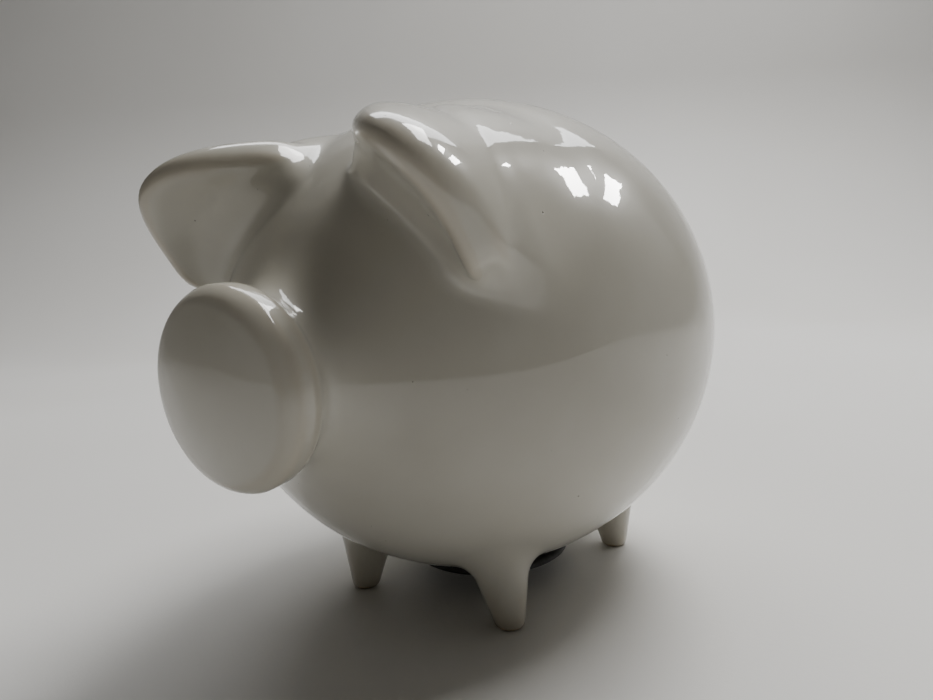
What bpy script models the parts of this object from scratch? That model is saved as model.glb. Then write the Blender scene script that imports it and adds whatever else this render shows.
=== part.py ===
"""Ceramic piggy bank: a hollow barrel with luted snout, ears, legs and tail, and a rubber belly stopper.

Metres, +Z up. The pig looks along -Y and stands on z = 0, so +X is its left side.
Every clay piece is cast or rolled on its own and stuck on with slip; a thin joint gap stands for the slip.
"""

import math

import bmesh
import bpy
from mathutils import Matrix, Vector

# Driving sizes.
BODY_RADIUS = 0.060
BODY_HALF_LENGTH = 0.070
BELLY_CLEARANCE = 0.006
WALL = 0.004
SLIP_GAP = 0.0003

# Coin slot, along the spine on the crown of the back.
SLOT_LENGTH = 0.036
SLOT_WIDTH = 0.005
SLOT_SHIFT = 0.008
SLOT_CUT_DEPTH = 0.012

# Belly opening and its stopper.
BELLY_HOLE_RADIUS = 0.0175
STOPPER_CLEARANCE = 0.0004
FLANGE_RADIUS = 0.0215
FLANGE_THICKNESS = 0.0018
STOPPER_HEIGHT = 0.0125
STOPPER_WALL = 0.0024
RIB_DEPTH = 0.0007
DISH_RADIUS = 0.0120
DISH_DEPTH = 0.0009
RUBBER_EDGE = 0.0006
PULL_TAB = Vector((0.0244, 0.0030, 0.0013))

# Snout, turned about an axis that dips a little towards the nose.
SNOUT_RADIUS = 0.0187
SNOUT_REACH = 0.0877
SNOUT_THICKNESS = 0.0108
SNOUT_NECK_RADIUS = 0.0153
SNOUT_ROOT = 0.050
SNOUT_FACE_DOME = 0.0034
SNOUT_FACE_EDGE = 0.0022
SNOUT_BACK_EDGE = 0.0030
SNOUT_DROP = 0.0020
SNOUT_DIP = math.radians(3.0)

# Vents through the barrel's wall, each drilled along the pig's length.
VENT_RADIUS = 0.0032
VENT_CUT_LENGTH = 0.020
SNOUT_VENT = Vector((0.0, -0.068, 0.0))
EAR_VENT = Vector((0.031, -0.040, 0.036))

# Legs: where each foot stands from the pig's centre, and how far it splays outwards.
FRONT_FOOT = Vector((0.0229, -0.0275))
REAR_FOOT = Vector((0.0250, 0.0285))
FRONT_SPLAY = math.radians(8.0)
REAR_SPLAY = math.radians(4.0)
FOOT_RADIUS = 0.0031
FOOT_EDGE = 0.0005
LEG_LENGTH = 0.031
LEG_TAPER = 0.27
LEG_FLARE = 4.5

# Tail: a rolled coil of clay, straight out of the rump for a short stem.
TAIL_HEIGHT = 0.010
TAIL_STEM = 0.0015
TAIL_ROOT_DEPTH = 0.004
TAIL_COIL_RADIUS = 0.0046
TAIL_ROOT_RADIUS = 0.0029
TAIL_TIP_RADIUS = 0.0017
TAIL_PITCH = 0.0072
TAIL_TURNS = 1.25
TAIL_POINTS = 22

# The barrel's middle: half way between snout and tail tip puts the origin under the middle of the pig.
TAIL_LEAN = math.atan(TAIL_PITCH / (2 * math.pi * TAIL_COIL_RADIUS))
TAIL_COIL_LENGTH = TAIL_STEM + TAIL_PITCH * TAIL_TURNS
TAIL_REACH = BODY_HALF_LENGTH + TAIL_COIL_LENGTH + TAIL_TIP_RADIUS * math.cos(TAIL_LEAN)
PIG_CENTRE = Vector((0.0, (SNOUT_REACH - TAIL_REACH) / 2, BODY_RADIUS + BELLY_CLEARANCE))

# Ears: stations from the crown down to the cheek, in millimetres from the pig's centre.
# Each holds the crease at the face, the rim, and the back's foot on the barrel.
EAR_STATIONS = (
    ((6.5, -54.5, 41.0), (9.5, -54.0, 46.5), (12.0, -36.0, 49.5)),
    ((9.0, -57.5, 38.0), (16.5, -62.0, 46.5), (23.0, -30.0, 49.0)),
    ((15.0, -58.0, 34.0), (25.0, -71.5, 43.5), (34.0, -27.0, 44.0)),
    ((21.0, -58.0, 29.5), (35.5, -76.0, 38.0), (39.0, -33.0, 36.5)),
    ((26.0, -58.0, 25.0), (40.5, -70.5, 30.0), (41.5, -41.0, 27.0)),
    ((29.5, -57.5, 21.0), (41.0, -65.0, 23.0), (42.5, -44.0, 21.0)),
    ((32.0, -57.0, 15.5), (41.0, -60.5, 15.5), (42.5, -47.5, 15.0)),
)
EAR_BACK_WAY = Vector((0.50, 0.50, 0.71))
EAR_RIM_THICKNESS = 0.0070
EAR_RIM_FRONT_SHARE = 0.3
EAR_RIM_THINNEST = 0.0016
EAR_DISH = 0.0030
EAR_BELLY = 0.0035
EAR_ROOT_DEPTH = 0.76
RIGHT_EAR_DROP = 0.0020
RIGHT_EAR_FADE = (0.015, 0.031)
MILLIMETRE = 0.001
WELD_DISTANCE = 0.00002

BARREL_STEPS = 44
BARREL_RINGS = 24
SNOUT_STEPS = 32
LEG_STEPS = 20
STOPPER_STEPS = 36
VENT_STEPS = 16


def clear_scene():
    for obj in list(bpy.data.objects):
        bpy.data.objects.remove(obj, do_unlink=True)


def new_collection(name):
    collection = bpy.data.collections.new(name)
    bpy.context.scene.collection.children.link(collection)
    return collection


def new_material(name, colour, roughness, metallic=0.0):
    material = bpy.data.materials.new(name)
    material.use_nodes = True
    shader = material.node_tree.nodes["Principled BSDF"]
    shader.inputs["Base Color"].default_value = (*colour, 1.0)
    shader.inputs["Roughness"].default_value = roughness
    shader.inputs["Metallic"].default_value = metallic
    return material


def white_glaze(part):
    return new_material(f"white_glaze_{part}", (0.84, 0.82, 0.77), 0.08)


def black_rubber():
    return new_material("black_rubber", (0.025, 0.025, 0.026), 0.55)


def mesh_object(name, mesh, collection, material=None):
    obj = bpy.data.objects.new(name, mesh)
    collection.objects.link(obj)
    if material:
        mesh.materials.append(material)
    return obj


def turned(name, profile, steps, collection, material=None):
    """A profile of (radius, height) points, turned about the object's own Z axis."""
    bm = bmesh.new()
    points = [bm.verts.new((radius, 0.0, height)) for radius, height in profile]
    for first, second in zip(points, points[1:]):
        bm.edges.new((first, second))
    mesh = bpy.data.meshes.new(name)
    bm.to_mesh(mesh)
    bm.free()
    obj = mesh_object(name, mesh, collection, material)
    screw = obj.modifiers.new("Turn", "SCREW")
    screw.steps = steps
    screw.render_steps = steps
    screw.use_merge_vertices = True
    screw.merge_threshold = WELD_DISTANCE
    screw.use_smooth_shade = True
    return obj


def arc(centre_radius, centre_height, radius, start, end, count):
    """Points on a circular arc of a turned profile, from one angle to another in degrees."""
    angles = [math.radians(start + (end - start) * i / count) for i in range(count + 1)]
    return [(centre_radius + radius * math.cos(a), centre_height + radius * math.sin(a)) for a in angles]


def cut(obj, cutter, operation="DIFFERENCE"):
    boolean = obj.modifiers.new(f"{operation.title()} {cutter.name}", "BOOLEAN")
    boolean.object = cutter
    boolean.operation = operation
    boolean.solver = "EXACT"


def as_cutter(obj):
    obj.hide_render = True
    obj.display_type = "WIRE"
    return obj


def parent_to(child, parent):
    child.parent = parent
    child.matrix_parent_inverse = Matrix.Identity(4)


def barrel_profile(growth):
    """Half an ellipse from the nose pole to the tail pole, grown outwards by the given distance."""
    angles = [math.pi * ring / BARREL_RINGS for ring in range(BARREL_RINGS + 1)]
    radius = BODY_RADIUS + growth
    half_length = BODY_HALF_LENGTH + growth
    profile = [(radius * math.sin(a), half_length * math.cos(a)) for a in angles]
    profile[0] = (0.0, half_length)
    profile[-1] = (0.0, -half_length)
    return profile


def lay_along_nose(obj):
    """Turns an object's +Z towards the nose."""
    obj.rotation_euler = (math.radians(90.0), 0.0, 0.0)


def barrel_cutter(cutters, pig):
    """The barrel's outside with the slip joint's thickness: what each stuck-on piece is cut back to."""
    cutter = turned("barrel_outside", barrel_profile(SLIP_GAP), BARREL_STEPS, cutters)
    lay_along_nose(cutter)
    parent_to(cutter, pig)
    return as_cutter(cutter)


def cylinder_cutter(name, radius, depth, steps, cutters):
    bm = bmesh.new()
    bmesh.ops.create_cone(
        bm, cap_ends=True, segments=steps, radius1=radius, radius2=radius, depth=depth
    )
    mesh = bpy.data.meshes.new(name)
    bm.to_mesh(mesh)
    bm.free()
    return as_cutter(mesh_object(name, mesh, cutters))


def box_cutter(name, size, middle_height, cutters):
    bm = bmesh.new()
    bmesh.ops.create_cube(bm, size=1.0)
    bmesh.ops.scale(bm, verts=bm.verts, vec=size)
    bmesh.ops.translate(bm, verts=bm.verts, vec=(0.0, 0.0, middle_height))
    mesh = bpy.data.meshes.new(name)
    bm.to_mesh(mesh)
    bm.free()
    return as_cutter(mesh_object(name, mesh, cutters))


def slot_cutter(cutters, pig):
    """A straight slot with round ends, cut down through the crown of the back."""
    outline = bpy.data.curves.new("coin_slot_outline", "CURVE")
    outline.dimensions = "2D"
    outline.fill_mode = "BOTH"
    outline.extrude = SLOT_CUT_DEPTH
    spline = outline.splines.new("POLY")
    radius = SLOT_WIDTH / 2
    reach = SLOT_LENGTH / 2 - radius
    ends = arc(0.0, reach, radius, 0, 180, 8) + arc(0.0, -reach, radius, 180, 360, 8)
    spline.points.add(len(ends) - 1)
    for point, (x, y) in zip(spline.points, ends):
        point.co = (x, y, 0.0, 1.0)
    spline.use_cyclic_u = True
    guide = bpy.data.objects.new("coin_slot_outline", outline)
    cutters.objects.link(guide)
    graph = bpy.context.evaluated_depsgraph_get()
    mesh = bpy.data.meshes.new_from_object(guide.evaluated_get(graph))
    bpy.data.objects.remove(guide, do_unlink=True)
    weld(mesh)
    cutter = as_cutter(mesh_object("coin_slot_cutter", mesh, cutters))
    cutter.location = (0.0, SLOT_SHIFT, BODY_RADIUS)
    parent_to(cutter, pig)
    return cutter


def weld(mesh):
    bm = bmesh.new()
    bm.from_mesh(mesh)
    bmesh.ops.remove_doubles(bm, verts=bm.verts, dist=WELD_DISTANCE)
    bmesh.ops.recalc_face_normals(bm, faces=bm.faces)
    bm.to_mesh(mesh)
    bm.free()


def vent_cutters(cutters, pig):
    """Holes through the barrel's wall that let air out of the hollow snout and ears in the kiln."""
    places = {
        "snout_vent": SNOUT_VENT,
        "ear_left_vent": EAR_VENT,
        "ear_right_vent": Vector((-EAR_VENT.x, EAR_VENT.y, EAR_VENT.z)),
    }
    vents = []
    for name, place in places.items():
        vent = cylinder_cutter(name, VENT_RADIUS, VENT_CUT_LENGTH, VENT_STEPS, cutters)
        lay_along_nose(vent)
        vent.location = place
        parent_to(vent, pig)
        vents.append(vent)
    return vents


def body_shell(parts, cutters, pig):
    """The hollow barrel, open at the coin slot, the belly and the three vents."""
    shell = turned("body_shell", barrel_profile(0.0), BARREL_STEPS, parts, white_glaze("barrel"))
    lay_along_nose(shell)
    parent_to(shell, pig)
    wall = shell.modifiers.new("Wall", "SOLIDIFY")
    wall.thickness = WALL
    wall.offset = -1.0
    wall.use_even_offset = True
    belly = cylinder_cutter("belly_hole_cutter", BELLY_HOLE_RADIUS, BODY_RADIUS / 3, STOPPER_STEPS, cutters)
    belly.location = (0.0, 0.0, -BODY_RADIUS)
    parent_to(belly, pig)
    for cutter in (belly, slot_cutter(cutters, pig), *vent_cutters(cutters, pig)):
        cut(shell, cutter)


def snout_profile():
    """A cup: out over the domed face and round the edge, in to the neck, and back up the inside."""
    face = SNOUT_REACH
    back = face - SNOUT_THICKNESS
    dome = SNOUT_FACE_DOME
    neck = SNOUT_NECK_RADIUS
    outer = [(0.0, face), (SNOUT_RADIUS / 3, face - dome / 8), (SNOUT_RADIUS * 2 / 3, face - dome / 2)]
    edge = SNOUT_FACE_EDGE
    outer += arc(SNOUT_RADIUS - edge, face - dome - edge, edge, 75, -8, 6)
    edge = SNOUT_BACK_EDGE
    outer += arc(SNOUT_RADIUS - edge, back + edge, edge, -12, -78, 4)
    outer += [(neck, back - dome), (neck, SNOUT_ROOT)]
    throat = neck - WALL
    hollow = SNOUT_RADIUS - WALL
    middle = face - SNOUT_THICKNESS / 2
    inner = [(throat, SNOUT_ROOT), (throat, back + WALL / 2), (hollow, middle - dome / 2)]
    inner += [(hollow - WALL * 3 / 4, face - WALL - dome / 2), (0.0, face - WALL)]
    return outer + inner


def snout(parts, pig, barrel):
    obj = turned("snout", snout_profile(), SNOUT_STEPS, parts, white_glaze("snout"))
    obj.rotation_euler = (math.radians(90.0) + SNOUT_DIP, 0.0, 0.0)
    obj.location = (0.0, 0.0, -SNOUT_DROP + SNOUT_REACH * math.sin(SNOUT_DIP))
    parent_to(obj, pig)
    cut(obj, barrel)


def ear_loop(station, inset):
    """One closed loop round the ear, as eight points, drawn in by the inset on every side.

    The rim is drawn in furthest, because a thin edge casts solid.
    """
    crease, rim, foot = (Vector(point) * MILLIMETRE for point in station)
    across = (foot - crease).normalized()
    outward = (rim - (crease + foot) / 2).normalized()
    crease = crease + across * inset
    foot = foot - across * inset
    rim = rim - outward * inset * 2.2
    thickness = EAR_BACK_WAY * max(EAR_RIM_THICKNESS - inset * 1.2, EAR_RIM_THINNEST)
    front = rim - thickness * EAR_RIM_FRONT_SHARE
    back = front + thickness
    return (
        crease * EAR_ROOT_DEPTH,
        crease,
        (crease + front) / 2 + across * (EAR_DISH + inset * 0.3),
        front,
        back,
        (back + foot) / 2 + outward * (EAR_BELLY - inset * 0.8),
        foot,
        foot * EAR_ROOT_DEPTH,
    )


def ear_mesh(name, stations, inset):
    """A cage lofted through the loops of the stations and closed at both ends."""
    bm = bmesh.new()
    loops = [[bm.verts.new(point) for point in ear_loop(station, inset)] for station in stations]
    for first, second in zip(loops, loops[1:]):
        for i, vertex in enumerate(first):
            after = (i + 1) % len(first)
            bm.faces.new((vertex, first[after], second[after], second[i]))
    bm.faces.new(reversed(loops[0]))
    bm.faces.new(loops[-1])
    bmesh.ops.recalc_face_normals(bm, faces=bm.faces)
    mesh = bpy.data.meshes.new(name)
    bm.to_mesh(mesh)
    bm.free()
    mesh.shade_smooth()
    return mesh


def mirrored(mesh):
    """The same cage for the pig's right side, where the ear sits a little lower towards the crown."""
    copy = mesh.copy()
    copy.transform(Matrix.Scale(-1.0, 4, (1.0, 0.0, 0.0)))
    copy.flip_normals()
    near, far = RIGHT_EAR_FADE
    for vertex in copy.vertices:
        share = min(max((-vertex.co.x - near) / (far - near), 0.0), 1.0)
        vertex.co.z -= RIGHT_EAR_DROP * (1.0 - share * share * (3.0 - 2.0 * share))
    return copy


def smooth_cage(obj):
    subdivision = obj.modifiers.new("Smooth", "SUBSURF")
    subdivision.levels = 2
    subdivision.render_levels = 2
    return obj


def ears(parts, cutters, pig, barrel):
    outside = ear_mesh("ear_outside", EAR_STATIONS, 0.0)
    hollow = ear_mesh("ear_hollow", EAR_STATIONS[1:-1], WALL)
    for side in ("left", "right"):
        shape = outside if side == "left" else mirrored(outside)
        inside = hollow if side == "left" else mirrored(hollow)
        ear = smooth_cage(mesh_object(f"ear_{side}", shape, parts, white_glaze(f"ear_{side}")))
        core = as_cutter(smooth_cage(mesh_object(f"ear_{side}_hollow", inside, cutters)))
        parent_to(ear, pig)
        parent_to(core, pig)
        cut(ear, core)
        cut(ear, barrel)


def leg_profile():
    """A slim cone that widens faster as it nears the belly, with a slightly rounded flat foot."""
    heights = [LEG_LENGTH * share**1.5 for share in (1.0, 0.8, 0.64, 0.5, 0.37, 0.24, 0.11)]
    flare = [(FOOT_RADIUS + LEG_TAPER * h + LEG_FLARE * h * h, h) for h in heights]
    foot = [(FOOT_RADIUS, FOOT_EDGE / 2), (FOOT_RADIUS - FOOT_EDGE, -FOOT_EDGE), (0.0, -FOOT_EDGE)]
    return [(0.0, LEG_LENGTH), *flare, *foot]


def legs(parts, cutters, pig, barrel):
    ground = box_cutter("ground_cutter", (BODY_RADIUS * 2, BODY_RADIUS * 2, 0.010), -0.005, cutters)
    for end, foot, splay in (("front", FRONT_FOOT, FRONT_SPLAY), ("rear", REAR_FOOT, REAR_SPLAY)):
        for side, sign in (("left", 1.0), ("right", -1.0)):
            name = f"leg_{end}_{side}"
            leg = turned(name, leg_profile(), LEG_STEPS, parts, white_glaze(name))
            leg.location = (sign * foot.x, foot.y, -PIG_CENTRE.z)
            leg.rotation_euler = (0.0, -sign * splay, 0.0)
            parent_to(leg, pig)
            cut(leg, ground)
            cut(leg, barrel)


def tail_path():
    """Points and radii along the tail: straight out of the rump, then round one coil."""
    points = [(Vector((0.0, BODY_HALF_LENGTH - TAIL_ROOT_DEPTH, TAIL_HEIGHT)), TAIL_ROOT_RADIUS)]
    for i in range(TAIL_POINTS + 1):
        share = i / TAIL_POINTS
        turn = 2 * math.pi * TAIL_TURNS * share
        x = TAIL_COIL_RADIUS * math.sin(turn)
        y = BODY_HALF_LENGTH + TAIL_STEM + TAIL_PITCH * TAIL_TURNS * share
        z = TAIL_HEIGHT + TAIL_COIL_RADIUS * (1 - math.cos(turn))
        radius = TAIL_ROOT_RADIUS + (TAIL_TIP_RADIUS - TAIL_ROOT_RADIUS) * share
        points.append((Vector((x, y, z)), radius))
    return points


def tail(parts, pig, barrel):
    curve = bpy.data.curves.new("tail_curve", "CURVE")
    curve.dimensions = "3D"
    curve.bevel_depth = 1.0
    curve.bevel_resolution = 2
    curve.use_fill_caps = True
    path = tail_path()
    spline = curve.splines.new("POLY")
    spline.points.add(len(path) - 1)
    for point, (place, radius) in zip(spline.points, path):
        point.co = (*place, 1.0)
        point.radius = radius
    guide = bpy.data.objects.new("tail_curve", curve)
    parts.objects.link(guide)
    graph = bpy.context.evaluated_depsgraph_get()
    mesh = bpy.data.meshes.new_from_object(guide.evaluated_get(graph))
    bpy.data.objects.remove(guide, do_unlink=True)
    weld(mesh)
    mesh.shade_smooth()
    obj = mesh_object("tail", mesh, parts, white_glaze("tail"))
    parent_to(obj, pig)
    cut(obj, barrel)


def stopper_profile():
    """A cup of rubber: up the middle, over the rim, down past two sealing ribs, and out to the flange."""
    plug = BELLY_HOLE_RADIUS - STOPPER_CLEARANCE
    groove = plug - RIB_DEPTH
    inside = plug - STOPPER_WALL
    floor = FLANGE_THICKNESS
    top = floor + STOPPER_HEIGHT
    edge = RUBBER_EDGE
    cup = [(0.0, floor + edge), (inside - edge * 2, floor + edge), (inside, floor + edge * 3), (inside, top)]
    upper_rib = [(groove - edge, top), (plug, top * 0.80), (plug, top * 0.72), (groove, top * 0.69)]
    lower_rib = [(groove, top * 0.57), (plug, top * 0.51), (plug, floor)]
    flange = [(FLANGE_RADIUS - edge, floor), (FLANGE_RADIUS, floor - edge)]
    flange += [(FLANGE_RADIUS, edge), (FLANGE_RADIUS - edge, 0.0)]
    dish = [(DISH_RADIUS + edge, 0.0), (DISH_RADIUS - edge, DISH_DEPTH), (0.0, DISH_DEPTH)]
    return [*cup, *upper_rib, *lower_rib, *flange, *dish]


def belly_stopper(parts, cutters, pig):
    """The bung, with its origin on its own sliding axis."""
    obj = turned("belly_stopper", stopper_profile(), STOPPER_STEPS, parts, black_rubber())
    rim_drop = BODY_RADIUS * math.sqrt(1 - (BELLY_HOLE_RADIUS / BODY_HALF_LENGTH) ** 2)
    obj.location = (0.0, 0.0, -rim_drop - SLIP_GAP - FLANGE_THICKNESS)
    parent_to(obj, pig)
    tab = box_cutter("pull_tab", PULL_TAB, PULL_TAB.z / 2 + SLIP_GAP / 15, cutters)
    parent_to(tab, obj)
    cut(obj, tab, "UNION")


def main():
    clear_scene()
    parts = new_collection("piggy_bank")
    cutters = new_collection("cutters")
    pig = bpy.data.objects.new("pig_centre", None)
    pig.location = PIG_CENTRE
    parts.objects.link(pig)
    barrel = barrel_cutter(cutters, pig)
    body_shell(parts, cutters, pig)
    snout(parts, pig, barrel)
    ears(parts, cutters, pig, barrel)
    legs(parts, cutters, pig, barrel)
    tail(parts, pig, barrel)
    belly_stopper(parts, cutters, pig)


main()
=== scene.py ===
import math

import bmesh
import bpy
import numpy as np
from mathutils import Matrix, Vector
from mathutils.bvhtree import BVHTree


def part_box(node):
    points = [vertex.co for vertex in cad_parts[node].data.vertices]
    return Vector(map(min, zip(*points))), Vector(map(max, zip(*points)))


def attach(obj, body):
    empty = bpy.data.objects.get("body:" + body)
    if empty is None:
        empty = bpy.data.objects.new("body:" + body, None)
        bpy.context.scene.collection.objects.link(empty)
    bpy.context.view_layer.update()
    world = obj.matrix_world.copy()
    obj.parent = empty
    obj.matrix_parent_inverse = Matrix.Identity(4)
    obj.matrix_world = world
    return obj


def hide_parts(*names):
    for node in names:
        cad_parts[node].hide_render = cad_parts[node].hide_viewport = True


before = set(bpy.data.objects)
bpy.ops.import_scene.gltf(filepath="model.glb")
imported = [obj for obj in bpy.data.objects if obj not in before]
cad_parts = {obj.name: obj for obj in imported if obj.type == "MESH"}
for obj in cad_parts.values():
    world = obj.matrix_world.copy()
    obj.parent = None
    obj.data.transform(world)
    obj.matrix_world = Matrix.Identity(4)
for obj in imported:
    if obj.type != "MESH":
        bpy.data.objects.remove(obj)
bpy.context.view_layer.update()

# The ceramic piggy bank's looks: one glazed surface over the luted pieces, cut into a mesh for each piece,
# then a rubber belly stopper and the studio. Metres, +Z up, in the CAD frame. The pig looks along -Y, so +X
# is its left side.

# The barrel, as the CAD has it. Every shape below is measured from the pig's centre.
PIG_CENTRE = np.array((0.0, 0.0028, 0.066))
BARREL_RADII = np.array((0.060, 0.070, 0.060))
WALL = 0.004

# Coin slot and belly opening. Both cuts start this far from the pig's centre.
CUT_START = 0.030
SLOT_LENGTH = 0.036
SLOT_WIDTH = 0.005
SLOT_SHIFT = 0.008
SLOT_LIP = 0.0016
BELLY_HOLE_RADIUS = 0.0175
BELLY_LIP = 0.0010

# Stopper: a cup with two ribs round it, on a flange with a shallow dish under it.
PLUG_CLEARANCE = 0.0004
PLUG_HEIGHT = 0.0125
PLUG_WALL = 0.0024
GROOVE_DEPTH = 0.0007
CUP_FLOOR = 0.0006
CUP_ROUND = 0.0016
RIM_ROUND = 0.0006
UPPER_RIB = 0.0012
LOWER_RIB = 0.0009
FLANGE_RADIUS = 0.0215
FLANGE_THICKNESS = 0.0018
FLANGE_TOP_ROUND = 0.0008
FLANGE_BOTTOM_ROUND = 0.0007
DISH_DEPTH = 0.0009
STOPPER_STEPS = 96
PULL_TAB_SIZE = (0.0232, 0.0030, 0.0016)
PULL_TAB_EDGE = 0.0006

# Snout. The neck is a short cylinder, given by its middle and half its length along the snout's axis.
SNOUT_RADIUS = 0.0187
SNOUT_REACH = 0.0877
SNOUT_THICKNESS = 0.0074
SNOUT_NECK_RADIUS = 0.0153
SNOUT_NECK_MIDDLE = 0.064
SNOUT_NECK_HALF = 0.014
SNOUT_DROP = 0.0020
SNOUT_DIP = math.radians(3.0)
SNOUT_DOME = 0.0034
SNOUT_FRONT_EDGE = 0.0022
SNOUT_BACK_EDGE = 0.0030
SNOUT_NECK_FILLET = 0.0080
SNOUT_HEAD_FILLET = 0.0110

# Legs: (x, y) of the foot and the outward splay in degrees.
FEET = {"front": (0.0229, -0.0275, 8.0), "rear": (0.0250, 0.0285, 4.0)}
FOOT_RADIUS = 0.0034
LEG_TAPER = 0.235
LEG_LENGTH = 0.031
LEG_FILLET = 0.0045
SOLE_EDGE = 0.0012

# Tail. It is measured exactly inside a box TAIL_NEAR wider than its path. Outside that, its distance is the
# one to the box plus TAIL_FAR.
TAIL_HEIGHT = 0.010
TAIL_ROOT_DEPTH = 0.004
TAIL_NEAR = 0.008
TAIL_FAR = 0.005
TAIL_STEM = 0.0015
TAIL_COIL_RADIUS = 0.0046
TAIL_ROOT_RADIUS = 0.0029
TAIL_TIP_RADIUS = 0.0017
TAIL_PITCH = 0.0072
TAIL_TURNS = 1.25
TAIL_POINTS = 30
TAIL_FILLET = 0.0035

# Ears: stations from the crown down to the cheek, in millimetres. Each holds crease, rim and back foot.
EAR_STATIONS = (
    ((6.5, -54.5, 41.0), (9.5, -54.0, 46.5), (12.0, -36.0, 49.5)),
    ((9.0, -57.5, 38.0), (16.5, -62.0, 46.5), (23.0, -30.0, 49.0)),
    ((15.0, -58.0, 34.0), (25.0, -71.5, 43.5), (34.0, -27.0, 44.0)),
    ((21.0, -58.0, 29.5), (35.5, -76.0, 38.0), (39.0, -33.0, 36.5)),
    ((26.0, -58.0, 25.0), (40.5, -70.5, 30.0), (41.5, -41.0, 27.0)),
    ((29.5, -57.5, 21.0), (41.0, -65.0, 23.0), (42.5, -44.0, 21.0)),
    ((32.0, -57.0, 15.5), (41.0, -60.5, 15.5), (42.5, -47.5, 15.0)),
)
EAR_BACK_WAY = Vector((0.50, 0.50, 0.71))
RIGHT_EAR_DROP = 0.0020
RIGHT_EAR_FADE = (0.015, 0.031)
EAR_RIM_THICKNESS = 0.0070
EAR_RIM_FRONT_SHARE = 0.3
EAR_DISH = 0.0030
EAR_BELLY = 0.0035
EAR_ROOT_DEPTH = 0.76
EAR_MIDDLE = np.array((0.030, -0.048, 0.033))
EAR_ACROSS = np.array((0.549, 0.806, 0.220))
EAR_FRONT_FILLET = 0.004
EAR_BACK_FILLET = 0.014
EAR_FILLET_BLEND = 0.016
EAR_CROWN_FILLET = 0.006
EAR_CROWN_REACH = (0.008, 0.022)
EAR_BOX = (np.array((-0.001, -0.092, -0.006)), np.array((0.060, -0.008, 0.068)))
EAR_FAR = 0.016
EAR_KEY = 0.000001
EAR_TOUCH = 0.00001
MILLIMETRE = 0.001

# Glaze, and the colours of every material.
SOLE_WIPE = 0.0016
INSIDE_FADE = 0.6
POOL_SCALE = 100.0
BEND_SMOOTHING = 6
NORMAL_SMOOTHING = 3
GLAZE_DARK = (0.550, 0.527, 0.455, 1.0)
GLAZE_LIGHT = (0.600, 0.580, 0.512, 1.0)
GLAZE_DRIFT = (0.520, 0.493, 0.420, 1.0)
GLAZE_THICK = (0.625, 0.607, 0.542, 1.0)
GLAZE_THIN = (0.520, 0.462, 0.365, 1.0)
SPECK = (0.105, 0.080, 0.060, 1.0)
CLAY_DARK = (0.520, 0.435, 0.320, 1.0)
CLAY_LIGHT = (0.660, 0.575, 0.450, 1.0)
RUBBER_BLACK = (0.016, 0.016, 0.017, 1.0)
RUBBER_BLOOM = (0.046, 0.045, 0.043, 1.0)
PAPER_DARK = (0.700, 0.690, 0.670, 1.0)
PAPER_LIGHT = (0.735, 0.728, 0.712, 1.0)
# Painted shade up the backdrop: the paper's colour fades to this darker one between these two heights, in
# metres.
PAPER_PAINTED_SHADE = (0.400, 0.394, 0.380, 1.0)
PAPER_SHADE_HEIGHTS = (0.02, 0.90)

# Camera: place in metres, then azimuth, elevation and roll in degrees, and lens in millimetres.
CAMERA_PLACE = Vector((0.10740, -0.15716, 0.08440))
CAMERA_ANGLES = (35.01, 6.85, -3.2)
CAMERA_LENS = 27.28
CAMERA_SENSOR = 36.0
CAMERA_CLIP = (0.01, 20.0)

# Paper sweep, measured away from the camera's side.
SWEEP_FRONT = -0.34
SWEEP_BEND = 0.55
SWEEP_CURVE = 0.35
SWEEP_HEIGHT = 1.6
SWEEP_SIDES = (-1.6, -0.8, 0.0, 0.17, 0.8, 1.6)
SWEEP_FLAT_STEPS = 12
SWEEP_CURVE_STEPS = 16

# Room and lights. Each light has a name, azimuth, elevation, distance, width, height, power and colour,
# and says whether it lights the scene or only shows as a reflection.
ROOM_BRIGHT_SIDE = 190.0
ROOM_DARK = (0.026, 0.023, 0.018, 1.0)
ROOM_BRIGHT = (0.220, 0.216, 0.208, 1.0)
LIGHTS = (
    ("window_upper", 147.0, 47.0, 1.2, 0.30, 0.10, 6.5, (1.0, 0.985, 0.955), False),
    ("window_lower", 147.0, 38.5, 1.2, 0.30, 0.10, 6.5, (1.0, 0.985, 0.955), False),
    ("curtain", 158.0, 64.0, 1.3, 0.80, 0.36, 15.0, (1.0, 0.99, 0.97), True),
    ("sky_fill", 208.0, 50.0, 1.3, 1.20, 0.60, 13.0, (0.98, 0.99, 1.0), True),
)

# Sampling of the surface. GRID_REACH is in grid steps, and LEAST_SLOPE keeps a flat gradient from
# throwing a point far away.
CELL = 0.0008
STRIDES = (4, 2, 1)
GRID_BOX = (np.array((-0.0641, -0.0932, -0.0681)), np.array((0.0641, 0.0862, 0.0641)))
SLOPE_STEP = 0.0001
SEAM_DEPTH = 0.0006
TINY = 0.0000001
GRID_REACH = 2.3
LEAST_SLOPE = 0.05
DIAGONAL_ROUNDS = 12

PIECES = (
    "glazed_barrel", "glazed_snout", "glazed_ear_left", "glazed_ear_right", "glazed_leg_front_left",
    "glazed_leg_front_right", "glazed_leg_rear_left", "glazed_leg_rear_right", "glazed_tail",
)
CAD_NODES = (
    "body_shell", "snout", "ear_left", "ear_right", "leg_front_left",
    "leg_front_right", "leg_rear_left", "leg_rear_right", "tail",
)


# ---------------------------------------------------------------- distances

def length_of(vectors):
    return np.sqrt((vectors * vectors).sum(-1))


def eased(share):
    """A share from 0 to 1 that starts and ends gently."""
    return share * share * (3.0 - 2.0 * share)


def smooth_min(a, b, reach):
    """The lower of two distances, blended where they are within reach of each other."""
    overlap = np.maximum(reach - np.abs(a - b), 0.0)
    return np.minimum(a, b) - overlap * overlap / (4.0 * reach)


def smooth_max(a, b, reach):
    return -smooth_min(-a, -b, reach)


def ellipsoid_distance(points, radii):
    near = length_of(points / radii)
    return near * (near - 1.0) / np.maximum(length_of(points / radii**2), 1e-9)


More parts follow.
